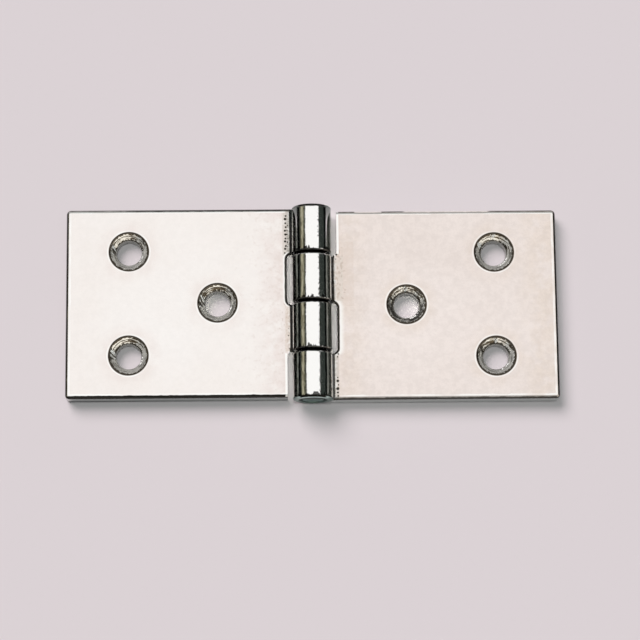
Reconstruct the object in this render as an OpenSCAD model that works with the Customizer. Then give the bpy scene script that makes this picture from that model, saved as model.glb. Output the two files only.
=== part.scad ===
// Solid polished boat hinge, lying open and flat on its mounting faces.
// X runs across the open leaves, Y along the pin and Z up from the mounting faces.
// The origin is under the middle of the pin, on the mounting faces.

/* [Leaves] */
// Distance from the pin axis to the outer edge of a leaf
leaf_reach = 51; // [46:0.5:70]
// Length of a leaf along the pin
leaf_length = 40; // [36:0.5:60]
// Thickness of a leaf
leaf_thick = 3.9; // [3.6:0.05:4]
// Plan radius of the outer corners of a leaf
corner_round = 0.9; // [0.7:0.05:3]
// Radius along the upper edges of a leaf
upper_edge_round = 0.7; // [0.2:0.05:0.8]
// Radius along the lower edges of a leaf
lower_edge_round = 0.2; // [0.1:0.05:0.4]

/* [Knuckles] */
// Diameter of the knuckles
barrel_d = 8.2; // [7.8:0.1:8.6]
// Height of the pin axis above the mounting faces
axis_height = 4.05; // [3.95:0.01:4.08]
// How far each leaf lies off the middle, along the pin towards its own end knuckle
leaf_shift = 0.3; // [0:0.05:0.5]
// How far the barrel stands out past the end of the leaf that carries its end knuckle
barrel_overhang = 0.1; // [0.05:0.05:1]
// Number of knuckles, taken in turn by the two leaves
knuckle_count = 4; // [2:1:6]
// Gap between two knuckles
knuckle_gap = 0.4; // [0.3:0.05:0.8]
// Radius around the ends of a knuckle
knuckle_round = 0.45; // [0.2:0.05:0.6]

/* [Necks] */
// Distance from the pin axis to the end of the flat top of a leaf
flat_end = 4.7; // [4.65:0.05:5.5]
// Radius of the roll that takes the top of a leaf down to its knuckles
roll_radius = 0.65; // [0.5:0.05:0.65]
// Depth of the crease between the roll and a knuckle
crease_depth = 0.6; // [0.4:0.02:0.62]
// Distance from the pin axis to the wall of a notch
notch_reach = 5.2; // [5:0.05:6]
// Plan radius in the corners of a notch
notch_round = 1.1; // [0.6:0.05:1.3]
// Radius along the upper edge of a notch that lies between two knuckles
notch_edge_round = 0.4; // [0.2:0.05:0.5]

/* [Pin] */
// Diameter of the pin
pin_d = 5; // [4:0.1:5.4]
// Radial clearance of the pin in the leaf that turns on it
pin_clearance = 0.04; // [0.02:0.01:0.08]
// How far each end of the pin lies inside the end of the barrel
pin_inset = 0.1; // [0.05:0.05:0.5]
// Bevel on the ends of the pin and of the bores
end_bevel = 0.35; // [0.1:0.05:0.45]

/* [Screw holes] */
// Diameter of the screw holes
hole_d = 5.3; // [3.5:0.1:6]
// Diameter of the countersinks at the face
sink_d = 8.2; // [7.4:0.1:9]
// Radius around the rims of the countersinks
rim_round = 0.6; // [0.3:0.05:1]
// Distance from the pin axis to the two outer holes of a leaf
outer_hole_reach = 38; // [32:0.5:44]
// Distance from the pin axis to the single inner hole of a leaf
inner_hole_reach = 19.6; // [14:0.1:26]
// Distance of the two outer holes from the middle of the leaf
hole_offset = 11; // [8:0.5:13]

/* [Hidden] */
$fn = 96;
// Cutting tools run this far past the metal
over = 1;
// The circles of the roll and of rounded rims stand this far above the flat top
roll_lift = 0.02;
rim_lift = 0.01;
barrel_r = barrel_d / 2;
pin_r = pin_d / 2;
hole_r = hole_d / 2;
sink_r = sink_d / 2;
sink_depth = sink_r - hole_r;
barrel_length = leaf_length + 2 * (leaf_shift + barrel_overhang);
knuckle_length = (barrel_length - (knuckle_count - 1) * knuckle_gap) / knuckle_count;
knuckle_pitch = knuckle_length + knuckle_gap;
edge_run = leaf_length - 2 * corner_round;
roll_x = flat_end + sqrt(pow(roll_radius, 2) - pow(roll_radius - roll_lift, 2));
roll_z = leaf_thick + roll_lift - roll_radius;
crease_z = leaf_thick - crease_depth;
rim_z = leaf_thick + rim_lift - rim_round;
rim_x = sink_r + rim_z - leaf_thick + rim_round * sqrt(2);
rim_foot = rim_round / sqrt(2);
notch_edge_z = leaf_thick + rim_lift - notch_edge_round;
plating = [0.88, 0.87, 0.85];
turned_steel = [0.7, 0.71, 0.7];

// Y of the near end of a knuckle, counted from the -Y end of the barrel
function knuckle_start(index) = -barrel_length / 2 + index * knuckle_pitch;

// The knuckles of one leaf: every second one, from the first one given
function knuckles_from(first) = [for (index = [first:2:knuckle_count - 1]) index];

// What a corner at the origin loses when it is rounded, the metal being at -X and -Y
module corner_loss(radius) {
    difference() {
        translate([-radius, -radius]) square(2 * radius);
        translate([-radius, -radius]) circle(radius);
    }
}

// Section through an outer edge of a leaf, run wide and rounded above and below at +X
module edge_section(run) {
    difference() {
        square([run, leaf_thick]);
        translate([run, leaf_thick]) corner_loss(upper_edge_round);
        translate([run, 0]) mirror([0, 1]) corner_loss(lower_edge_round);
    }
}

// Plate of a leaf with all its outer edges rounded, from the pin axis outwards
module plate() {
    // Body between the two long edges
    rotate([90, 0, 90]) linear_extrude(leaf_reach - corner_round) {
        edge_section(leaf_length / 2);
        mirror([1, 0]) edge_section(leaf_length / 2);
    }
    // Strip along the outer edge
    translate([leaf_reach - corner_round, 0, 0])
        rotate([90, 0, 0]) linear_extrude(edge_run, center = true) edge_section(corner_round);
    // Two outer corners, each a quarter turn of the same edge
    for (side = [0, 1]) {
        mirror([0, side, 0])
            translate([leaf_reach - corner_round, edge_run / 2, 0])
                rotate_extrude(angle = 90) edge_section(corner_round);
    }
}

// Takes the top of a leaf down in a roll to a crease beside the barrel
module roll_cut() {
    rotate([90, 0, 0]) linear_extrude(leaf_length + 2 * over, center = true) {
        difference() {
            translate([-over, crease_z]) square([roll_x + over, leaf_thick]);
            translate([roll_x, roll_z]) circle(roll_radius);
        }
    }
}

// What the upper edge of a wall loses when it is rounded, the wall being at X 0 and its metal at +X
module edge_loss() {
    difference() {
        translate([-over, notch_edge_z]) square([over + notch_edge_round, notch_edge_round + over]);
        translate([notch_edge_round, notch_edge_z]) circle(notch_edge_round);
    }
}

// Rounds one half of the upper edge of a notch: inner wall, corner and side wall
module notch_edge_cut(span) {
    wall = span / 2 - notch_round;
    corner_x = notch_reach - notch_round;
    translate([notch_reach, 0, 0]) rotate([90, 0, 0]) mirror([0, 0, 1])
        linear_extrude(wall) edge_loss();
    translate([corner_x, wall, 0]) rotate_extrude(angle = 90)
        intersection() {
            translate([notch_round, 0]) edge_loss();
            square(2 * leaf_thick);
        }
    translate([0, span / 2, 0]) rotate([90, 0, 90]) linear_extrude(corner_x) edge_loss();
}

// Notch in a leaf for a knuckle of the other leaf, rounded in its inner corners and along its edge
module notch_cut(index) {
    near = knuckle_start(index) - knuckle_gap;
    span = knuckle_length + 2 * knuckle_gap;
    translate([0, near, -over]) linear_extrude(leaf_thick + 2 * over) {
        difference() {
            translate([-over, 0]) square([notch_reach + over, span]);
            translate([notch_reach, span]) corner_loss(notch_round);
            translate([notch_reach, 0]) mirror([0, 1]) corner_loss(notch_round);
        }
    }
    for (side = [0, 1]) {
        translate([0, near + span / 2, 0]) mirror([0, side, 0]) notch_edge_cut(span);
    }
}

// Notch at the end of a leaf: its outer side is open, past the end of the leaf
module end_notch_cut(index) {
    side = index == 0 ? 1 : 0;
    span = knuckle_length + knuckle_gap + over;
    mirror([0, side, 0]) translate([0, barrel_length / 2 + over - span, -over])
        linear_extrude(leaf_thick + 2 * over) {
            difference() {
                translate([-over, 0]) square([notch_reach + over, span]);
                translate([notch_reach, 0]) mirror([0, 1]) corner_loss(notch_round);
            }
        }
}

// One knuckle as solid round bar with rounded ends, its axis along +Y from the origin
module knuckle_bar() {
    rotate([-90, 0, 0]) rotate_extrude() {
        difference() {
            square([barrel_r, knuckle_length]);
            translate([barrel_r, knuckle_length]) corner_loss(knuckle_round);
            translate([barrel_r, 0]) mirror([0, 1]) corner_loss(knuckle_round);
        }
    }
}

// Bore through one knuckle, bevelled at both ends
module bore_cut(bore_r) {
    rotate([-90, 0, 0]) rotate_extrude() {
        polygon([
            [0, -over],
            [bore_r + end_bevel, -over],
            [bore_r + end_bevel, 0],
            [bore_r, end_bevel],
            [bore_r, knuckle_length - end_bevel],
            [bore_r + end_bevel, knuckle_length],
            [bore_r + end_bevel, knuckle_length + over],
            [0, knuckle_length + over]
        ]);
    }
}

// Screw hole with a right-angled countersink that has a rounded rim
module screw_hole_cut() {
    rotate_extrude() {
        polygon([
            [0, -over],
            [hole_r, -over],
            [hole_r, leaf_thick - sink_depth],
            [rim_x - rim_foot, rim_z + rim_foot],
            [rim_x - rim_foot, leaf_thick + over],
            [0, leaf_thick + over]
        ]);
        difference() {
            translate([rim_x - rim_foot, rim_z + rim_foot]) square([rim_foot, over]);
            translate([rim_x, rim_z]) circle(rim_round);
        }
    }
}

// A leaf on the +X side that carries every second knuckle, from the first one given
module leaf(first, bore_r) {
    own = knuckles_from(first);
    others = knuckles_from(1 - first);
    shift = first == 0 ? -leaf_shift : leaf_shift;
    difference() {
        union() {
            difference() {
                translate([0, shift, 0]) plate();
                roll_cut();
                for (index = others) {
                    if (index == 0 || index == knuckle_count - 1) end_notch_cut(index);
                    else notch_cut(index);
                }
            }
            for (index = own) {
                translate([0, knuckle_start(index), axis_height]) knuckle_bar();
            }
        }
        for (index = own) {
            translate([0, knuckle_start(index), axis_height]) bore_cut(bore_r);
        }
        translate([0, shift, 0]) {
            for (side = [-1, 1]) {
                translate([outer_hole_reach, side * hole_offset, 0]) screw_hole_cut();
            }
            translate([inner_hole_reach, 0, 0]) screw_hole_cut();
        }
        // The underside is ground level, which leaves a narrow flat under each knuckle
        translate([-2 * barrel_r, -leaf_length, -barrel_r])
            cube([leaf_reach + 4 * barrel_r, 2 * leaf_length, barrel_r]);
    }
}

// Leaf whose knuckles grip the pin
module left_leaf() {
    color(plating) mirror([1, 0, 0]) leaf(1, pin_r);
}

// Leaf that turns on the pin
module right_leaf() {
    color(plating) leaf(0, pin_r + pin_clearance);
}

// Plain pin with bevelled ends, just inside the ends of the barrel
module hinge_pin() {
    reach = barrel_length / 2 - pin_inset;
    color(turned_steel) translate([0, 0, axis_height]) rotate([-90, 0, 0]) rotate_extrude() {
        polygon([
            [0, -reach],
            [pin_r - end_bevel, -reach],
            [pin_r, end_bevel - reach],
            [pin_r, reach - end_bevel],
            [pin_r - end_bevel, reach],
            [0, reach]
        ]);
    }
}

left_leaf();
right_leaf();
hinge_pin();
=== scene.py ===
"""Looks of a polished boat hinge that lies open and flat on a pale table.

Everything is in metres, in the frame of the CAD: X across the open leaves, Y along the pin,
Z up from the mounting faces, with the origin under the middle of the pin.
"""

import math

import bpy
from mathutils import Euler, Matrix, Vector

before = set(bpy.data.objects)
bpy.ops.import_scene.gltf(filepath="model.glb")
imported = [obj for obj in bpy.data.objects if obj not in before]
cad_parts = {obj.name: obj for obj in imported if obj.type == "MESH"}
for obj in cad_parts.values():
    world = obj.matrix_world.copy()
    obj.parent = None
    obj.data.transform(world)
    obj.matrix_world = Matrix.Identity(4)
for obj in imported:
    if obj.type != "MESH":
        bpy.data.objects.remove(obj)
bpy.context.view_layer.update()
MM = 0.001

# Camera, fitted to the outline and the six screw holes: turn in degrees, lens and sensor in mm
CAMERA_PLACE = (-6.554 * MM, -112.409 * MM, 518.275 * MM)
CAMERA_TURN = (11.960, -0.781, -0.604)
CAMERA_LENS = 142.90
SENSOR = 36.0
CLIP_START, CLIP_END = 0.01, 20.0

# Sizes of the CAD model that the materials follow, in millimetres
LEAF_REACH = 51.0
LEAF_HALF = 20.0
LEAF_SHIFT = 0.3
AXIS_HEIGHT = 4.05
BARREL_R = 4.1
BARREL_HALF = 20.4
KNUCKLE_PITCH = 10.3
NOTCH_REACH = 5.2
NOTCH_ROUND = 1.1
NOTCH_HALF = 5.35
OUTER_HOLE_REACH = 38.0
INNER_HOLE_REACH = 19.6
HOLE_OFFSET = 11.0
RIM_R = 4.15
BORE_R = 2.68
KNUCKLE_MOUTH_R = 2.95

DEGREES = 180.0 / math.pi

# Light that falls on the table: shares of the whole, colours, directions and widths in degrees
OVERHEAD = {"share": 0.36, "colour": (0.911, 1.0, 0.97), "toward": (0.0, -0.018, 1.0), "width": 11}
KEY = {"share": 0.57, "colour": (1.068, 1.0, 1.023), "toward": (-0.50, 0.66, 1.0), "width": 38}
AIR_COLOUR = (0.9, 1.0, 0.97, 1.0)
AIR_SHARE = 0.07
TABLE_COLOUR = (0.708, 0.645, 0.665, 1.0)
TABLE_HALF = 6.0
TABLE_TOP = -0.00006

# What only mirrors see. The metal throws that share of it on down to the table.
THROWN_SHARE = 0.3
TENT_RADIUS = 1.6
TENT_GREY = (0.42, 0.43, 0.42, 1.0)
TENT_DARK = (0.03, 0.036, 0.032, 1.0)
CLOTH_DARK = (0.045, 0.05, 0.046, 1.0)
CLOTH_GAP = (0.080, 0.050)
CLOTH_LIFT = 0.0001
SOFTBOX_WHITE = (1.0, 0.995, 0.985, 1.0)
SOFTBOX_HEIGHT = 0.6
OLIVE = (0.40, 0.375, 0.27, 1.0)
DIM_OLIVE = (0.16, 0.155, 0.105, 1.0)
WARM_WHITE = (1.0, 0.95, 0.86, 1.0)
WARM_GREY = (0.5, 0.46, 0.4, 1.0)
LOW_GREY = (0.22, 0.235, 0.215, 1.0)
NOTCH_GLOW = (0.95, 1.0, 0.89, 1.0)
NOTCH_POWER = 9.0

# Metal colours: polish and wear. The white edge is a painted highlight; the corner grey, the black
# and the gap grey are painted shade and dark reflections; the grime also paints shade in the crease
BRIGHT = (0.955, 0.95, 0.935, 1.0)
EDGE_HIGHLIGHT = (0.985, 0.975, 0.955, 1.0)
WORN_EDGE = (0.70, 0.65, 0.62, 1.0)
MOTTLE = (0.70, 0.60, 0.55, 1.0)
GROUND = (0.70, 0.69, 0.66, 1.0)
SMEAR = (0.34, 0.32, 0.27, 1.0)
CORNER_REFLECTION_GREY = (0.24, 0.27, 0.25, 1.0)
PIT = (0.05, 0.043, 0.034, 1.0)
SHADE_BLACK = (0.010, 0.009, 0.007, 1.0)
GRIME_AND_CREASE_SHADE = (0.035, 0.027, 0.02, 1.0)
GAP_GRIME_AND_SHADE_GREY = (0.055, 0.055, 0.047, 1.0)

# Metal colours: countersinks, the first two as lower and upper side of the cone; the upper side is
# painted warmer and with stronger rings where it mirrors the front card, and the lower side greyer:
# painted light and shade by side
TURNED_LIGHT = ((0.80, 0.79, 0.75, 1.0), (0.99, 0.96, 0.90, 1.0))
TURNED_DARK = ((0.42, 0.41, 0.38, 1.0), (0.13, 0.10, 0.065, 1.0))
SPLIT_DARK = (0.07, 0.055, 0.038, 1.0)
BLOT_BROWN = (0.22, 0.18, 0.12, 1.0)
SCAR_DARK = (0.05, 0.043, 0.038, 1.0)
CUT_DARK = (0.05, 0.043, 0.032, 1.0)
PAINTED_GLINT = (1.0, 0.99, 0.96, 1.0)
LIP_SHADE = (0.03, 0.023, 0.015, 1.0)
RIM_SHADE_AND_DIRT = (0.085, 0.066, 0.046, 1.0)
BORE_GREY = (0.46, 0.46, 0.43, 1.0)

# Metal colours: faced ends of the barrel and the pin, painted lighter at the top and darker towards
# the foot as painted light and shade, with painted shadow on the upper half of the bevel
END_LIT_TOP = (0.62, 0.76, 0.71, 1.0)
END_SHADED_SIDE = (0.20, 0.26, 0.24, 1.0)
END_SHADOWED_FOOT = (0.10, 0.15, 0.135, 1.0)
BEVEL_SHADOWED_UPPER = (0.003, 0.009, 0.007, 1.0)
BEVEL_LOWER = (0.055, 0.085, 0.075, 1.0)
PIN_DARK = (0.08, 0.16, 0.14, 1.0)
PIN_LIGHT = (0.135, 0.245, 0.22, 1.0)


# Node graph helpers

class Field:
    """Output socket that takes plain arithmetic and adds the nodes for it."""

    def __init__(self, graph, socket):
        self.graph = graph
        self.socket = socket

    def __add__(self, other):
        return self.graph.math("ADD", self, other)

    def __sub__(self, other):
        return self.graph.math("SUBTRACT", self, other)

    def __rsub__(self, other):
        return self.graph.math("SUBTRACT", other, self)

    def __mul__(self, other):
        return self.graph.math("MULTIPLY", self, other)

    def __truediv__(self, other):
        return self.graph.math("DIVIDE", self, other)

    __radd__ = __add__
    __rmul__ = __mul__


class Graph:
    """Short names for the nodes of one material or world."""

    def __init__(self, tree):
        self.tree = tree
        tree.nodes.clear()

    def node(self, kind, inputs=None, **settings):
        node = self.tree.nodes.new(kind)
        for key, value in settings.items():
            setattr(node, key, value)
        for key, value in (inputs or {}).items():
            self.feed(node.inputs[key], value)
        return node

    def feed(self, socket, value):
        if isinstance(value, Field):
            self.tree.links.new(value.socket, socket)
        elif isinstance(value, bpy.types.NodeSocket):
            self.tree.links.new(value, socket)
        else:
            socket.default_value = value

    def math(self, operation, first, second=0.0):
        node = self.node("ShaderNodeMath", {0: first, 1: second}, operation=operation)
        return Field(self, node.outputs[0])

    def largest(self, *values):
        result = values[0]
        for value in values[1:]:
            result = self.math("MAXIMUM", result, value)
        return result

    def smallest(self, first, second):
        return self.math("MINIMUM", first, second)

    def size(self, value):
        return self.math("ABSOLUTE", value)

    def length(self, first, second):
        return self.math("SQRT", first * first + second * second)

    def wave(self, value):
        return self.math("SINE", value)

    def step(self, value, low, high, to_low=0.0, to_high=1.0):
        """Smooth step from to_low, where the value is low or less, to to_high at high or more."""
        node = self.node(
            "ShaderNodeMapRange",
            {"Value": value, "From Min": low, "From Max": high, "To Min": to_low, "To Max": to_high},
            interpolation_type="SMOOTHSTEP",
        )
        return Field(self, node.outputs["Result"])

    def below(self, value, edge, soft):
        """1 up to the edge and 0 from a little past it."""
        return self.step(value, edge, edge + soft, 1.0, 0.0)

    def above(self, value, edge, soft):
        """1 from the edge on and 0 until a little before it."""
        return self.step(value, edge - soft, edge)

    def band(self, value, low, high, soft):
        """1 between two edges and 0 from a little outside them."""
        return self.above(value, low, soft) * self.below(value, high, soft)

    def mix(self, factor, first, second):
        """Colour mix."""
        node = self.node("ShaderNodeMix", {0: factor, 6: first, 7: second}, data_type="RGBA")
        return Field(self, node.outputs[2])

    def blend(self, factor, first, second):
        """Number mix."""
        node = self.node("ShaderNodeMix", {0: factor, 2: first, 3: second}, data_type="FLOAT")
        return Field(self, node.outputs[0])

    def scaled(self, colour, factor):
        node = self.node("ShaderNodeVectorMath", {0: colour, 3: factor}, operation="SCALE")
        return Field(self, node.outputs[0])

    def noise(self, place, waves, detail=2.0, stretch=(1.0, 1.0, 1.0), offset=(0.0, 0.0, 0.0)):
        """Noise between 0 and 1 with that many waves per millimetre."""
        spread = self.node(
            "ShaderNodeVectorMath", {0: place, 1: stretch, 2: offset}, operation="MULTIPLY_ADD"
        )
        node = self.node(
            "ShaderNodeTexNoise",
            {"Vector": spread.outputs[0], "Scale": waves, "Detail": detail, "Roughness": 0.55},
        )
        return Field(self, node.outputs["Fac"])

    def place(self):
        """Place on the piece in millimetres, and its three coordinates."""
        source = self.node("ShaderNodeTexCoord").outputs["Object"]
        scaled = self.node("ShaderNodeVectorMath", {0: source, 3: 1.0 / MM}, operation="SCALE")
        parts = self.node("ShaderNodeSeparateXYZ", {0: scaled.outputs[0]})
        return [Field(self, scaled.outputs[0])] + [Field(self, out) for out in parts.outputs]

    def finish(self, colour, roughness, height, metallic=1.0):
        """Metal with that colour, roughness and relief height in millimetres."""
        bump = self.node("ShaderNodeBump", {"Height": height, "Strength": 1.0, "Distance": MM})
        metal = self.node(
            "ShaderNodeBsdfPrincipled",
            {"Base Color": colour, "Metallic": metallic, "Roughness": roughness,
             "Normal": bump.outputs[0]},
        )
        self.node("ShaderNodeOutputMaterial", {"Surface": metal.outputs[0]})


def new_material(name):
    material = bpy.data.materials.new(name)
    material.use_nodes = True
    return material, Graph(material.node_tree)


# Camera

def make_camera():
    data = bpy.data.cameras.new("camera")
    data.sensor_width = SENSOR
    data.lens = CAMERA_LENS
    data.clip_start = CLIP_START
    data.clip_end = CLIP_END
    camera = bpy.data.objects.new("camera", data)
    camera.location = CAMERA_PLACE
    camera.rotation_euler = Euler([math.radians(a) for a in CAMERA_TURN], "XYZ")
    bpy.context.scene.collection.objects.link(camera)
    bpy.context.scene.camera = camera


# Table, lights and what the metal mirrors

def mesh_object(name, points, faces):
    mesh = bpy.data.meshes.new(name)
    mesh.from_pydata(points, [], faces)
    mesh.update()
    obj = bpy.data.objects.new(name, mesh)
    bpy.context.scene.collection.objects.link(obj)
    return obj


def flat_card(name, low, high, height):
    """Level rectangle between two corners, at that height."""
    (west, south), (east, north) = low, high
    corners = [(west, south), (east, south), (east, north), (west, north)]
    return mesh_object(name, [(x, y, height) for x, y in corners], [(0, 1, 2, 3)])


def make_table():
    """Pale paper that only shows from above, so the underside of the hinge can be looked at.

    A ray that has come up through it once doesn't meet it on the way back either.
    """
    table = flat_card("table", (-TABLE_HALF, -TABLE_HALF), (TABLE_HALF, TABLE_HALF), TABLE_TOP)
    material, g = new_material("table_paper")
    paper = g.node("ShaderNodeBsdfDiffuse", {"Color": TABLE_COLOUR})
    clear = g.node("ShaderNodeBsdfTransparent")
    side = g.node("ShaderNodeNewGeometry").outputs["Backfacing"]
    passed = g.node("ShaderNodeLightPath").outputs["Transparent Depth"]
    unseen = g.smallest(g.largest(side, passed), 1.0)
    mix = g.node("ShaderNodeMixShader", {0: unseen, 1: paper.outputs[0], 2: clear.outputs[0]})
    g.node("ShaderNodeOutputMaterial", {"Surface": mix.outputs[0]})
    table.data.materials.append(material)


def show_to_mirrors(obj, material):
    """Give the stage piece that glow and hide it from every ray that no metal has mirrored."""
    material.cycles.emission_sampling = "NONE"
    obj.data.materials.append(material)
    obj.visible_camera = False
    obj.visible_diffuse = False
    obj.visible_shadow = False
    obj.visible_transmission = False


def only_mirrored(obj, colour, strength):
    """Glowing stage piece that the metal mirrors and nothing else sees.

    colour and strength are plain values, or functions that make them from the material's graph.
    The table gets only part of what the metal throws down on it.
    """
    material, g = new_material(obj.name + "_glow")
    tint = colour(g) if callable(colour) else colour
    power = strength(g) if callable(strength) else strength
    from_table = g.smallest(g.node("ShaderNodeLightPath").outputs["Diffuse Depth"], 1.0)
    kept = 1.0 - from_table * (1.0 - THROWN_SHARE)
    light = g.node("ShaderNodeEmission", {"Color": tint, "Strength": kept * power})
    g.node("ShaderNodeOutputMaterial", {"Surface": light.outputs[0]})
    show_to_mirrors(obj, material)


def toward(azimuth, elevation, distance):
    """Point in that direction from the hinge: azimuth from +X towards +Y, in degrees."""
    a, e = math.radians(azimuth), math.radians(elevation)
    return (
        distance * math.cos(e) * math.cos(a),
        distance * math.cos(e) * math.sin(a),
        distance * math.sin(e),
    )


def curved_card(name, azimuths, elevations, distance, colour, strength, steps=24):
    """Card bent round the hinge between two azimuths and two elevations."""
    points, faces = [], []
    for index in range(steps + 1):
        azimuth = azimuths[0] + (azimuths[1] - azimuths[0]) * index / steps
        points += [toward(azimuth, elevations[0], distance), toward(azimuth, elevations[1], distance)]
    for index in range(steps):
        faces.append((2 * index, 2 * index + 2, 2 * index + 3, 2 * index + 1))
    only_mirrored(mesh_object(name, points, faces), colour, strength)


def second_mirror_only(g):
    """1 where it is seen through two mirrorings, as by a knuckle in the face of a leaf."""
    depth = Field(g, g.node("ShaderNodeLightPath").outputs["Glossy Depth"])
    return g.math("GREATER_THAN", depth, 1.5)


def first_mirror_only(g):
    """1 where it is seen straight in a mirror, and 0 through two mirrorings."""
    return 1.0 - second_mirror_only(g)


def make_softbox():
    """Overhead softbox; angles are from straight up, and it reaches back over the table."""
    left, right, front, back = -36.8, 41.5, -8.0, 26.0
    west, east, near, far = [
        SOFTBOX_HEIGHT * math.tan(math.radians(angle)) for angle in (left, right, front, back)
    ]
    box = flat_card("softbox", (west, near), (east, far), SOFTBOX_HEIGHT)
    only_mirrored(box, SOFTBOX_WHITE, 1.0)


def make_notch_light():
    """Light that the polished knuckles and notches throw down on the table between them.

    It is clear to every ray but one that has left the table and met polished metal.
    """
    half_width, half_length, height = 0.009, 0.0215, 0.013
    card = flat_card("notch_light", (-half_width, -half_length), (half_width, half_length), height)
    material, g = new_material("notch_light_glow")
    depth = Field(g, g.node("ShaderNodeLightPath").outputs["Diffuse Depth"])
    clear = g.node("ShaderNodeBsdfTransparent")
    light = g.node("ShaderNodeEmission", {"Color": NOTCH_GLOW, "Strength": NOTCH_POWER})
    shown = g.node(
        "ShaderNodeMixShader",
        {0: g.smallest(depth, 1.0), 1: clear.outputs[0], 2: light.outputs[0]},
    )
    g.node("ShaderNodeOutputMaterial", {"Surface": shown.outputs[0]})
    show_to_mirrors(card, material)


def tent_colour(g):
    """Dark between two reaches along the pin, as fractions of the tent's radius, and grey outside."""
    along_pin = g.place()[2]
    reach = along_pin * (MM / TENT_RADIUS)
    return g.mix(g.band(reach, 0.09, 0.32, 0.12), TENT_GREY, TENT_DARK)


def make_tent(rings=10, spokes=48):
    """Grey tent round the hinge, with a dark band where the barrel mirrors it for the camera."""
    points, faces = [], []
    for ring in range(rings + 1):
        for spoke in range(spokes):
            points.append(toward(360.0 * spoke / spokes, 90.0 * ring / rings, TENT_RADIUS))
    for ring in range(rings):
        for spoke in range(spokes):
            after = (spoke + 1) % spokes
            faces.append((ring * spokes + spoke, ring * spokes + after,
                          (ring + 1) * spokes + after, (ring + 1) * spokes + spoke))
    only_mirrored(mesh_object("tent", points, faces), tent_colour, 1.0)


def make_floor_cloth():
    """Dark cloth just above the table, with a gap round the hinge."""
    corners = [(-1, -1), (1, -1), (1, 1), (-1, 1)]
    inner = [(x * CLOTH_GAP[0], y * CLOTH_GAP[1], CLOTH_LIFT) for x, y in corners]
    outer = [(x * TENT_RADIUS, y * TENT_RADIUS, CLOTH_LIFT) for x, y in corners]
    faces = [(i, (i + 1) % 4, 4 + (i + 1) % 4, 4 + i) for i in range(4)]
    only_mirrored(mesh_object("floor_cloth", inner + outer, faces), CLOTH_DARK, 1.0)


def make_cards():
    """Strips beside the hinge for the barrel, and a card in front for the countersinks."""
    curved_card("left_strip", (150, 210), (25, 37), 1.1, OLIVE, first_mirror_only)
    curved_card("left_strip_rim", (150, 210), (20, 45), 1.2, DIM_OLIVE, first_mirror_only)
    curved_card("front_card", (-106, -9), (3, 30), 1.0, WARM_WHITE, 1.25)
    curved_card("front_card_fade", (-128, -106), (3, 30), 1.0, WARM_GREY, 1.0)
    curved_card("left_low", (140, 220), (1, 13), 1.3, LOW_GREY, second_mirror_only)
    curved_card("right_low", (-40, 40), (1, 13), 1.3, LOW_GREY, second_mirror_only)


def make_sun(name, light):
    """Wide sun for the table and its shadows alone; mirrors show the softbox instead."""
    toward_light = Vector(light["toward"]).normalized()
    data = bpy.data.lights.new(name, "SUN")
    data.energy = math.pi * light["share"] / toward_light.z
    data.angle = math.radians(light["width"])
    data.color = light["colour"]
    sun = bpy.data.objects.new(name, data)
    sun.rotation_euler = toward_light.to_track_quat("Z", "Y").to_euler()
    sun.visible_glossy = False
    bpy.context.scene.collection.objects.link(sun)


def make_world():
    """Pale backdrop for the camera and for mirrors, dim air for the shadows."""
    world = bpy.data.worlds.new("studio_air")
    bpy.context.scene.world = world
    world.use_nodes = True
    g = Graph(world.node_tree)
    ray = g.node("ShaderNodeLightPath").outputs
    seen = g.largest(ray["Is Camera Ray"], ray["Is Glossy Ray"], ray["Is Transmission Ray"])
    backdrop = g.node("ShaderNodeBackground", {"Color": TABLE_COLOUR, "Strength": 1.0})
    air = g.node("ShaderNodeBackground", {"Color": AIR_COLOUR, "Strength": AIR_SHARE})
    mix = g.node("ShaderNodeMixShader", {0: seen, 1: air.outputs[0], 2: backdrop.outputs[0]})
    g.node("ShaderNodeOutputWorld", {"Surface": mix.outputs[0]})


# Metal of the leaves

def bevel_colour(g, z):
    """Dull green-grey of the edges round the bore and the pin, with painted shadow making the upper
    half nearly black.
    """
    shaded = g.step(z, AXIS_HEIGHT - 1.2, AXIS_HEIGHT - 0.2)
    return g.mix(shaded, BEVEL_LOWER, BEVEL_SHADOWED_UPPER)


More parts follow.
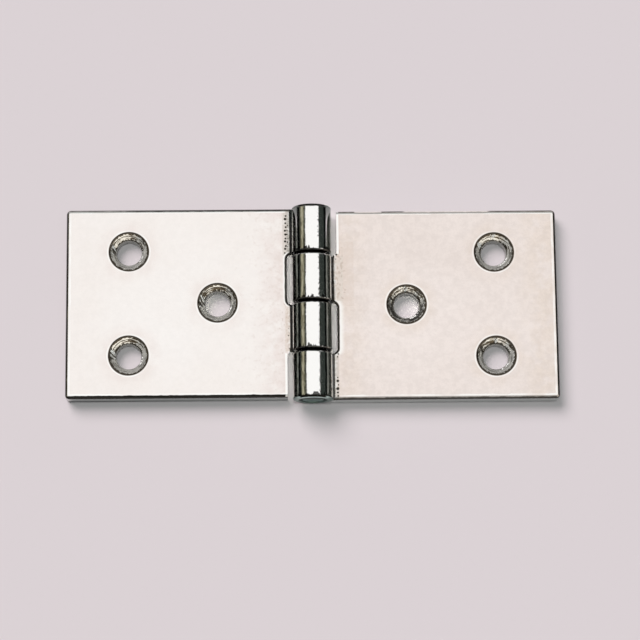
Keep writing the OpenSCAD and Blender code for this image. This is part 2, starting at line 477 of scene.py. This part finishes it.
class LeafFinish:
    """Polish, stains, turned countersinks and wear of one leaf, built up layer by layer.

    side is -1 for the left leaf and 1 for the right one, and shift is where the leaf's middle
    is along the pin. out is the distance from the pin axis and along the place along the pin,
    from the middle of the leaf; all in millimetres.
    """

    def __init__(self, name, side, shift):
        self.material, self.g = new_material(name)
        g = self.g
        self.spot, self.x, self.y, self.z = g.place()
        self.side = side
        self.out = self.x * side
        self.along = self.y - shift
        self.find_hole()
        self.fine = g.noise(self.spot, 0.9, 3.0)
        self.wobble = g.noise(self.spot, 0.7, 2.0)
        self.find_edges()
        self.on_barrel = g.below(self.out, BARREL_R, 0.1)
        self.colour = BRIGHT
        self.roughness = g.step(self.fine, 0.25, 0.75, 0.07, 0.14)
        self.matt = 0.0
        self.relief = g.noise(self.spot, 0.35, 1.0) * 0.004

    def find_edges(self):
        """Distances in from the leaf's front and back edges and from the nearest one, uneven."""
        g = self.g
        self.uneven = (self.wobble - 0.5) * 0.3
        self.to_front = self.along + LEAF_HALF
        self.to_back = LEAF_HALF + 0.14 - self.along
        nearest = g.smallest(self.to_front, self.to_back)
        self.inside = g.smallest(LEAF_REACH - self.out, nearest) + self.uneven

    def above_height(self, height, soft=0.1):
        """1 above that height: the top face and more or less of its rounded edges."""
        return self.g.above(self.z, height, soft)

    def find_hole(self):
        """Distance and angle round the nearest of the three screw holes.

        hole_left_turn is the angle from -X, so that it has no jump on the left of the hole.
        """
        g = self.g
        pair_x = self.out - OUTER_HOLE_REACH
        pair_y = g.size(self.along) - HOLE_OFFSET
        lone_x = self.out - INNER_HOLE_REACH
        pair_r, lone_r = g.length(pair_x, pair_y), g.length(lone_x, self.along)
        lone = g.math("LESS_THAN", lone_r, pair_r)
        self.hole_r = g.smallest(pair_r, lone_r)
        pair_up = self.along - g.math("SIGN", self.along) * HOLE_OFFSET
        up = g.blend(lone, pair_up, self.along)
        right = g.blend(lone, pair_x, lone_x) * self.side
        self.hole_angle = g.math("ARCTAN2", up, right) * DEGREES
        self.hole_up = up / g.largest(self.hole_r, 0.1)
        self.hole_right = right / g.largest(self.hole_r, 0.1)
        self.hole_left_turn = g.math("ARCTAN2", 0.0 - up, 0.0 - right) * DEGREES
        self.inner_hole = lone
        self.hole_seed = g.blend(lone, g.math("SIGN", self.along) * 7.0, 31.0) + self.side * 13.0

    def polar_noise(self, around, outward, detail=2.0):
        """Noise round the nearest hole, with its own pattern in each: waves per radian and per mm."""
        g = self.g
        turned = g.node("ShaderNodeCombineXYZ", {
            "X": self.hole_right * around, "Y": self.hole_up * around,
            "Z": self.hole_r * outward + self.hole_seed,
        })
        return g.noise(turned.outputs[0], 1.0, detail)

    def slanted_noise(self):
        """Noise in slanting strokes across the left side of the cone, new in each hole."""
        g = self.g
        strokes = g.node("ShaderNodeCombineXYZ", {
            "X": self.hole_left_turn * 0.11 + self.hole_r * 1.6, "Y": self.hole_r * 0.4,
            "Z": self.hole_seed,
        })
        return g.noise(strokes.outputs[0], 1.0, 1.0)

    def hole_sector(self, middle, half, soft=5.0):
        """1 between two angles round the nearest hole, in degrees from +X towards +Y."""
        g = self.g
        turn = g.math("PINGPONG", self.hole_angle - middle, 180.0)
        return g.below(turn, half, soft)

    def paint(self, mask, colour, amount=1.0):
        """Lay that colour over what is there, as far as the mask and the amount say."""
        self.colour = self.g.mix(mask * amount, self.colour, colour)

    def roughen(self, mask, roughness):
        self.roughness = self.g.blend(mask, self.roughness, roughness)

    def dull(self, mask):
        """Marks where light scatters instead of being mirrored."""
        self.matt = self.g.largest(mask, self.matt)

    def stain_flat(self, tint, light, warm, edge, neck, speckle):
        """Cloudy tints on the flat top: light in the middle, warm at the holes.

        edge and neck say how far the warm tint comes in from the outer edge and from the pin.
        """
        g = self.g
        flat = g.step(self.out, 4.7, 5.3) * self.above_height(3.7)
        clouds = g.noise(self.spot, 0.07, 3.0)
        small_clouds = g.noise(self.spot, 0.28, 3.0, offset=(7.0, 3.0, 0.0))
        middle = g.below(g.length((self.out - 22.0) / 26.0, (self.along + 4.0) / 15.0), 0.2, 0.9)
        stain = g.mix(g.step(clouds, 0.35, 0.65) * 0.5 + middle * 0.5, tint, light)
        outer = g.above(self.out, LEAF_REACH - 3.0, 7.0) * edge
        halo = g.below(self.hole_r, RIM_R + 0.25, 3.2) * 0.6
        inner = g.below(self.out, 6.5, 7.0) * neck
        warmth = g.largest(outer, halo, inner) * g.step(small_clouds, 0.3, 0.6)
        stain = g.mix(warmth, stain, warm)
        grain = g.step(self.fine, 0.3, 0.7, 1.0 - speckle, 1.0 + speckle * 0.5)
        self.paint(flat, g.scaled(stain, grain))
        mottle = g.noise(self.spot, 0.8, 4.0, offset=(0.0, 11.0, 0.0)) - (self.out - 5.0) * 0.016
        self.paint(flat * g.step(mottle, 0.42, 0.62), MOTTLE, 0.26)

    def outline_edges(self, outer, front, back, front_width, halo):
        """Painted dark reflections along the rounded edges, with a painted highlight line just inside
        them.

        outer, front and back say how dark the painted outline is along each edge of the leaf, and
        halo how bright the painted highlight lines by the edges and holes are.
        """
        g = self.g
        high = self.above_height(3.2, 0.15)
        broken = g.noise(self.spot, 0.17, 2.0, offset=(3.0, 0.0, 8.0))
        shine = g.step(broken, 0.38, 0.58, 0.35, 1.0) * halo
        # Painted highlight line just inside the edges
        bright_line = g.band(self.inside, 0.66, 0.92, 0.15) * g.above(self.out, 6.0, 1.0)
        self.paint(bright_line * high, EDGE_HIGHLIGHT, shine)

        # Painted dark reflection along the front and outer rounded edges
        front_line = g.below(self.to_front + self.uneven, front_width, 0.1)
        self.paint(front_line * self.above_height(3.38), SHADE_BLACK, front)
        outer_line = g.below(LEAF_REACH - self.out + self.uneven, 0.4, 0.1)
        self.paint(outer_line * high, SHADE_BLACK, outer)

        # Back edge: worn grey mixed with painted dark reflection
        back_width = g.below(self.out, 34.0, 8.0) * (0.22 * back) + 0.4
        back_line = g.below(self.to_back + self.uneven, back_width, 0.1) * high
        dark_back = g.largest(g.step(broken, 0.53, 0.58) * 0.92, back)
        self.paint(back_line, g.mix(dark_back, WORN_EDGE, SHADE_BLACK), 0.95)
        self.roughen(back_line, 0.4)
        self.dull(back_line * (1.0 - dark_back))
        # Painted highlight ring round the rim of each countersink
        self.paint(g.band(self.hole_r, RIM_R + 0.19, RIM_R + 0.35, 0.1) * high, EDGE_HIGHLIGHT, shine)

    def tint_walls(self, colour, foot):
        """Duller walls round the leaf, with a painted contact shadow at their foot; foot says how
        dark it is.
        """
        g = self.g
        wall = g.below(self.inside, 0.22, 0.1) * g.below(self.z, 3.25, 0.1)
        self.paint(wall, colour)
        fading = g.step(self.out, 8.0, 46.0, 0.45, 1.0) * foot
        # Painted contact shadow along the bottom of the walls, weaker near the barrel
        self.paint(wall * g.below(self.z, 1.25, 0.5), SHADE_BLACK, fading)

    def brighten_inner_edge(self, low, high):
        """Painted highlight line along the leaf's edge beside a knuckle of the other leaf."""
        g = self.g
        line = g.band(self.out, NOTCH_REACH + 0.05, NOTCH_REACH + 0.4, 0.1)
        self.paint(line * g.band(self.y, low, high, 0.2) * self.above_height(3.3), EDGE_HIGHLIGHT)

    def outline_notch(self, middle, halo):
        """Painted dark reflection on the notch's rounded edge between two knuckles, with a painted
        highlight line outside.

        middle is the notch's middle along the pin, and halo how softly the highlight line ends.
        """
        g = self.g
        past_x = g.largest(self.out - (NOTCH_REACH - NOTCH_ROUND), 0.0)
        past_y = g.largest(g.size(self.y - middle) - (NOTCH_HALF - NOTCH_ROUND), 0.0)
        away = g.length(past_x, past_y) - NOTCH_ROUND + (self.wobble - 0.5) * 0.2
        high = self.above_height(3.3, 0.15) * g.above(self.out, 4.3, 0.1)
        near = g.below(g.size(self.y - middle), NOTCH_HALF + 0.1, 0.5)
        bright = g.above(away, 0.52, 0.1) * g.below(away, 0.6, halo) * near
        # Painted highlight outside the notch edge
        self.paint(bright * high, EDGE_HIGHLIGHT, 0.8)
        # Painted dark reflection on the notch's rounded edge
        dark = g.below(away, 0.42, 0.1) * g.above(self.out, 4.6, 0.1)
        self.paint(dark * high, SHADE_BLACK, 0.93)

    def turn_countersinks(self, chatter, shine, worn_inner):
        """Turned cones: broken rings, chatter marks with painted glints and a ragged outline, over a
        dull bore.

        chatter lists sectors of the cone with radial marks and painted glints, and shine those with a
        painted highlight along the inner edge, as middle and half width in degrees; worn_inner
        darkens the hole near the pin.
        """
        g = self.g
        sunk = g.band(self.z, 2.4, 3.8, 0.06)
        cone = g.below(self.hole_r, RIM_R - 0.2, 0.1) * sunk * g.above(self.hole_r, BORE_R, 0.02)
        rings = self.polar_noise(1.3, 2.7)
        spokes = self.polar_noise(11.0, 0.9, 3.0)
        cuts, glints = self.chatter_marks(chatter, shine, spokes)
        glints = glints * cone
        turned = self.turned_colour(rings, spokes, self.inner_hole * worn_inner)
        self.paint(cone, g.mix(cuts * 0.9, turned, CUT_DARK))
        # Painted glints: white, and matt so that the lamps light them
        self.paint(glints, PAINTED_GLINT)
        # Painted shade along the upper inner edge of the cone, ragged
        lip = g.below(self.hole_r + (spokes - 0.5) * 1.3, BORE_R + 0.25, 0.08) * cone
        self.paint(lip * g.step(self.hole_up, -0.2, 0.4), LIP_SHADE, 0.95)
        self.darken_rim()
        self.roughen(cone, 0.2)
        self.dull_bore()
        self.dull(g.largest(cone * 0.30, glints))
        fine_rings = g.wave(self.hole_r * (2 * math.pi / 0.13))
        self.relief = self.relief + cone * (rings * 0.03 + fine_rings * 0.001 - cuts * 0.02)

    def turned_colour(self, rings, spokes, worn):
        """Broken light and dark rings, and scars if worn. The rings are painted warmer and stronger
        on the upper side, which mirrors the front card, and greyer on the lower side: painted light
        and shade.
        """
        g = self.g
        # Side of the hole for the painted light and shade of the rings
        upper = g.step(self.hole_up, -0.4, 0.6)
        light = g.mix(upper, *TURNED_LIGHT)
        dark = g.mix(upper, *TURNED_DARK)
        turned = g.mix(g.step(rings, 0.42, 0.48), dark, light)
        blots = self.polar_noise(2.2, 1.6, 3.0)
        split = g.band(self.hole_r + (blots - 0.5) * 0.5, 3.38, 3.5, 0.06)
        split = split * g.step(self.polar_noise(3.0, 0.5), 0.36, 0.46)
        split = split * self.hole_sector(95.0, 62.0, 10.0)
        turned = g.mix(split * 0.9, turned, SPLIT_DARK)
        turned = g.mix(g.step(blots, 0.58, 0.66) * upper * 0.6, turned, BLOT_BROWN)
        low_ring = g.band(self.hole_r + (spokes - 0.5) * 0.6, 2.95, 3.6, 0.15)
        scars = low_ring * g.step(self.hole_up, 0.35, -0.1) * g.step(blots, 0.30, 0.46)
        scars = g.largest(scars, g.step(spokes, 0.54, 0.62) * 0.7)
        return g.mix(scars * worn, turned, SCAR_DARK)

    def chatter_marks(self, chatter, shine, spokes):
        """Slanting dark cuts and painted glints in those sectors of the cone, and a painted
        highlight on the inner edge.
        """
        g = self.g
        chattered = g.largest(*[self.hole_sector(*sector) for sector in chatter])
        strokes = self.slanted_noise()
        cuts = chattered * g.step(strokes, 0.50, 0.56)
        glints = chattered * g.step(strokes, 0.46, 0.41)
        edge = g.band(self.hole_r, BORE_R + 0.1, BORE_R + 0.3, 0.08) * g.step(spokes, 0.54, 0.47)
        lit_edge = g.largest(*[self.hole_sector(*sector) for sector in shine]) * edge
        return cuts, g.largest(glints, lit_edge)

    def darken_rim(self):
        """Ragged dark outline on the rounded rim of each countersink: painted dark reflection, with
        dirt.
        """
        g = self.g
        ragged = self.hole_r + (self.polar_noise(7.0, 0.5, 3.0) - 0.5) * 0.9
        rim = g.above(ragged, RIM_R - 0.34, 0.08) * g.below(self.hole_r, RIM_R + 0.02, 0.08)
        self.paint(rim * self.above_height(3.4), RIM_SHADE_AND_DIRT, 0.96)

    def dull_bore(self):
        """Grey, less polished wall of the straight part of each hole."""
        g = self.g
        bore = g.below(self.hole_r, BORE_R, 0.02)
        self.paint(bore, BORE_GREY)
        self.roughen(bore, 0.3)

    def blacken_gaps(self):
        """Painted shade with grime on the rounded ends of the knuckles, with ragged edges that run
        into the polish.

        It reaches further from each gap towards the back of the hinge than towards the front.
        """
        g = self.g
        distance = g.math("PINGPONG", self.y, KNUCKLE_PITCH / 2)
        between = g.below(g.size(self.y), BARREL_HALF - 4.0, 0.5)
        behind = g.step(g.wave(self.y * (2 * math.pi / KNUCKLE_PITCH)), -0.04, 0.04)
        ragged = g.noise(self.spot, 1.35, 3.0, stretch=(1.0, 0.15, 1.0), offset=(0.0, 0.0, 2.0))
        front_reach = g.step(ragged, 0.3, 0.7, 0.54, 0.36)
        back_reach = g.step(ragged, 0.42, 0.70, 0.44, 1.25)
        reach = g.blend(behind, front_reach, back_reach)
        gap_shade_and_grime = g.mix(g.step(self.fine, 0.4, 0.6), SHADE_BLACK, GAP_GRIME_AND_SHADE_GREY)
        # Painted shade in the gaps between the knuckles, with grime
        self.paint(g.below(distance - reach, 0.0, 0.12) * self.on_barrel * between, gap_shade_and_grime, 0.95)
        self.blacken_barrel_ends(ragged)

    def blacken_barrel_ends(self, ragged):
        """Painted dark reflection on the rounded edge at each end of the barrel, and grey painted
        dark reflection on the corners at the back one.
        """
        g = self.g
        from_middle = g.size(self.y)
        blots = g.step(ragged, 0.42, 0.6) * g.below(self.y, 0.0, 1.0) * 0.7
        edge = g.above(from_middle + blots, BARREL_HALF - 0.38, 0.08)
        edge = edge * g.below(from_middle, BARREL_HALF - 0.07, 0.08)
        on_top = g.above(self.z, AXIS_HEIGHT + 0.05, 0.5) * g.below(g.size(self.x), 2.9, 0.6)
        shown = g.largest(on_top, g.above(self.y, BARREL_HALF - 2.0, 0.5))
        # Painted dark reflection on the rounded end edges
        self.paint(edge * g.below(self.out, BARREL_R + 0.2, 0.1) * shown, SHADE_BLACK, 0.9)
        sides = g.band(g.size(self.x), 2.9, BARREL_R + 0.1, 0.3)
        # Painted dark reflection over the back corners
        self.paint(sides * g.above(self.y, BARREL_HALF - 1.0, 4.0), CORNER_REFLECTION_GREY, 0.95)

    def ripple_knuckles(self):
        """Slight waves of hand polishing, which bend the mirrored lines along the barrel."""
        g = self.g
        waves = g.noise(self.spot, 0.55, 2.0, stretch=(1.0, 0.6, 1.0), offset=(5.0, 0.0, 0.0))
        fine_waves = g.noise(self.spot, 1.6, 2.0, offset=(1.0, 6.0, 0.0))
        self.relief = self.relief + (waves * 0.036 + fine_waves * 0.007) * self.on_barrel

    def smear_knuckles(self):
        """Faint smears on the left of the barrel, and specks in two lines along its top."""
        g = self.g
        upper = self.on_barrel * g.above(self.z, AXIS_HEIGHT, 0.3)
        smears = g.noise(self.spot, 0.9, 3.0, stretch=(2.2, 0.35, 0.0), offset=(0.0, 4.0, 9.0))
        left_side = g.band(self.x, -3.3, -1.35, 0.25) * upper
        self.paint(left_side * g.step(smears, 0.44, 0.6), SMEAR, 0.7)
        specks = g.noise(self.spot, 2.0, 2.0, offset=(8.0, 2.0, 0.0))
        lines = g.largest(g.band(self.x, -1.75, -1.3, 0.12), g.band(self.x, 1.3, 1.6, 0.12))
        self.paint(lines * upper * g.step(specks, 0.56, 0.64), GRIME_AND_CREASE_SHADE, 0.8)

    def neck_shade_and_haze(self, low, high, start, end, colour, amount):
        """Uneven band beside a knuckle: painted shade where the neck rolls down to it, with dull
        haze.

        low and high are places along the pin, and start and end reaches from its axis.
        """
        g = self.g
        grain = g.noise(self.spot, 1.4, 3.0, offset=(2.0, 0.0, 0.0))
        band = g.band(self.out + (grain - 0.5) * 0.8, start, end, 0.2)
        band = band * g.band(self.y, low, high, 0.2) * self.above_height(3.3)
        self.paint(band * g.step(grain, 0.3, 0.62, 0.35, 1.0), colour, amount)

    def scuff_neck(self, low, high, start, end, colour, amount):
        """Small brown scuffs beside a knuckle, thinning out away from it.

        low and high are places along the pin, and start and end reaches from its axis.
        """
        g = self.g
        grain = g.noise(self.spot, 1.7, 4.0, stretch=(1.0, 0.75, 1.0), offset=(0.0, 5.0, 3.0))
        near = g.step(self.out, start, end, 0.07, -0.1) * g.above(self.out, start - 0.3, 0.3)
        spots = g.step(grain + near, 0.55, 0.7) * g.band(self.y, low, high, 1.5)
        reach = g.band(self.out, start - 0.3, end, 0.5)
        self.paint(spots * reach * self.above_height(3.5), colour, amount)

    def fill_crease(self, amount):
        """Painted shade with grime in the crease between the neck and the knuckle."""
        g = self.g
        low = g.band(self.z, 3.1, 3.76, 0.07) * g.band(self.out, 3.93, 4.54, 0.08)
        # Painted shade with grime along the crease
        self.paint(low, GRIME_AND_CREASE_SHADE, amount)
        self.roughen(low, 0.6)

    def pit_necks(self, columns):
        """Columns of small pits beside the knuckles; columns lists what pit_column asks for."""
        g = self.g
        pits = g.largest(*[self.pit_column(*column) for column in columns])
        pits = pits * self.above_height(3.4)
        self.paint(pits, PIT, 0.94)
        self.roughen(pits, 0.6)
        self.relief = self.relief - pits * 0.12

    def pit_column(self, reach, low, high, spacing, size, seed):
        """Pits at that reach from the pin axis, one in each length of spacing along it.

        Each pit has its own place in its length, step sideways and size.
        """
        g = self.g
        turn = self.y / spacing
        cell = g.math("FLOOR", turn)
        chance = g.node("ShaderNodeTexWhiteNoise", {"W": cell + seed}, noise_dimensions="1D")
        parts = g.node("ShaderNodeSeparateColor", {0: chance.outputs["Color"]}).outputs
        lengthwise, sideways, share = [Field(g, part) for part in parts]
        along = (turn - (cell + 0.35 + lengthwise * 0.3)) * spacing
        across = self.out - (sideways * 0.24 + (reach - 0.12))
        own_size = share * (0.65 * size) + 0.35 * size
        pit = g.below(g.length(across, along) / own_size, 0.55, 0.5)
        return pit * g.band(self.y, low, high, 0.1)

    def dull_ends(self):
        """Faced ends of the barrel: greener and rougher, painted lighter at the top and darker
        towards the foot as painted light and shade, and dark round the bore.
        """
        g = self.g
        from_middle = g.size(self.y)
        axis_r = g.length(self.x, self.z - AXIS_HEIGHT)
        beside = g.above(g.size(self.x), 2.9, 0.5)
        chamfer = beside * g.above(0.0 - self.y, BARREL_HALF - 0.3, 0.06)
        end = g.largest(g.above(from_middle, BARREL_HALF - 0.03, 0.03), chamfer)
        end = end * g.below(axis_r, BARREL_R, 0.05)
        # Painted light and shade on the end face: lit near the top, shaded at the sides, darkest at
        # the foot
        lower = g.mix(g.below(self.z, 1.2, 2.0), END_SHADED_SIDE, END_SHADOWED_FOOT)
        self.paint(end, g.mix(g.below(self.z, 5.6, 1.8), END_LIT_TOP, lower))
        self.roughen(end, 0.36)
        bevel = g.below(axis_r, KNUCKLE_MOUTH_R, 0.08) * g.below(self.out, BARREL_R + 0.05, 0.1)
        bevel = bevel * g.above(from_middle, BARREL_HALF - 0.6, 0.1)
        self.paint(bevel, bevel_colour(g, self.z), 0.98)

    def grind_underside(self):
        """Ground mounting face with fine marks across the leaf."""
        g = self.g
        under = g.below(self.z, 0.02, 0.04)
        marks = g.noise(self.spot, 3.0, 2.0, stretch=(0.06, 1.0, 1.0))
        self.roughen(under, 0.34)
        self.paint(under, GROUND)
        self.relief = self.relief + under * marks * 0.006

    def done(self):
        self.g.finish(self.colour, self.roughness, self.relief, 1.0 - self.matt)
        return self.material


def left_finish():
    leaf = LeafFinish("left_polish", -1, LEAF_SHIFT)
    leaf.stain_flat(
        tint=(0.915, 0.865, 0.835, 1.0), light=(0.94, 0.905, 0.885, 1.0),
        warm=(0.855, 0.775, 0.745, 1.0), edge=0.1, neck=0.9, speckle=0.02,
    )
    leaf.neck_shade_and_haze(10.4, 20.2, 4.6, 5.3, (0.40, 0.37, 0.33, 1.0), 0.9)
    leaf.neck_shade_and_haze(10.4, 20.2, 5.3, 6.0, (0.62, 0.57, 0.52, 1.0), 0.7)
    leaf.neck_shade_and_haze(-10.0, -0.3, 4.6, 5.5, (0.70, 0.60, 0.52, 1.0), 0.7)
    leaf.scuff_neck(-10.5, 1.5, 4.7, 7.4, (0.58, 0.47, 0.41, 1.0), 0.5)
    leaf.outline_edges(outer=0.84, front=0.98, back=0.91, front_width=0.56, halo=1.0)
    leaf.tint_walls((0.53, 0.55, 0.53, 1.0), foot=1.0)
    leaf.brighten_inner_edge(-19.4, -10.6)
    leaf.outline_notch(middle=5.15, halo=0.3)
    leaf.turn_countersinks(chatter=[(172, 17)], shine=[(-12, 28)], worn_inner=0.0)
    leaf.fill_crease(0.78)
    leaf.ripple_knuckles()
    leaf.smear_knuckles()
    leaf.blacken_gaps()
    leaf.pit_necks([
        (5.46, 10.7, 18.8, 0.80, 0.29, 3.0), (4.98, 11.2, 17.2, 0.9, 0.16, 11.0),
        (5.0, -7.0, -4.9, 0.8, 0.15, 19.0), (4.86, -10.2, -9.3, 0.9, 0.25, 23.0),
    ])
    leaf.dull_ends()
    leaf.grind_underside()
    return leaf.done()


def right_finish():
    leaf = LeafFinish("right_polish", 1, -LEAF_SHIFT)
    leaf.stain_flat(
        tint=(0.822, 0.738, 0.70, 1.0), light=(0.868, 0.788, 0.755, 1.0),
        warm=(0.79, 0.692, 0.625, 1.0), edge=0.8, neck=0.7, speckle=0.05,
    )
    leaf.neck_shade_and_haze(0.3, 10.0, 4.2, 4.75, (0.16, 0.13, 0.10, 1.0), 0.8)
    leaf.neck_shade_and_haze(-0.5, 13.0, 5.2, 8.6, (0.74, 0.63, 0.56, 1.0), 0.5)
    leaf.neck_shade_and_haze(0.3, 10.0, 4.9, 6.4, (0.72, 0.66, 0.60, 1.0), 0.7)
    leaf.neck_shade_and_haze(-20.0, -10.6, 4.5, 5.3, (0.55, 0.50, 0.45, 1.0), 0.8)
    leaf.scuff_neck(-1.0, 12.0, 5.0, 8.4, (0.50, 0.39, 0.32, 1.0), 0.5)
    leaf.outline_edges(outer=0.88, front=0.94, back=0.0, front_width=0.33, halo=0.75)
    leaf.tint_walls((0.68, 0.70, 0.68, 1.0), foot=0.2)
    leaf.brighten_inner_edge(10.6, 20.0)
    leaf.outline_notch(middle=-5.15, halo=1.1)
    leaf.turn_countersinks(chatter=[(152, 7), (92, 5)], shine=[(-48, 26)], worn_inner=0.9)
    leaf.fill_crease(0.46)
    leaf.ripple_knuckles()
    leaf.smear_knuckles()
    leaf.blacken_gaps()
    leaf.pit_necks([
        (5.2, -19.8, -15.4, 0.80, 0.38, 31.0), (5.08, 8.7, 11.2, 0.9, 0.22, 37.0),
        (5.3, -11.4, -10.6, 0.5, 0.2, 41.0),
    ])
    leaf.dull_ends()
    leaf.grind_underside()
    return leaf.done()


def pin_finish():
    """Faced end of the pin: turning rings, a dull green-grey skin, a dark bevel, and painted shade
    over the upper part.
    """
    material, g = new_material("pin_turned_end")
    spot, x, _, z = g.place()
    radius = g.length(x, z - AXIS_HEIGHT)
    rings = g.wave(radius * (2 * math.pi / 0.3) + g.noise(spot, 0.8) * 3.0)
    colour = g.mix(g.noise(spot, 1.2, 3.0), PIN_DARK, PIN_LIGHT)
    colour = g.mix(g.above(radius, 2.2, 0.08), colour, bevel_colour(g, z))
    # Painted shade over the upper part of the pin's end
    colour = g.mix(g.above(z, AXIS_HEIGHT + 1.0, 0.9) * 0.95, colour, SHADE_BLACK)
    g.finish(colour, g.step(rings, -1.0, 1.0, 0.3, 0.4), rings * 0.002)
    return material


def dress(node, material):
    """Give the CAD node that material in place of its plain one."""
    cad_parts[node].data.materials[0] = material


def main():
    make_camera()
    make_table()
    make_world()
    make_tent()
    make_floor_cloth()
    make_softbox()
    make_cards()
    make_notch_light()
    make_sun("overhead", OVERHEAD)
    make_sun("key", KEY)
    dress("left_leaf", left_finish())
    dress("right_leaf", right_finish())
    dress("hinge_pin", pin_finish())
    bpy.context.scene.view_settings.view_transform = "Standard"


main()
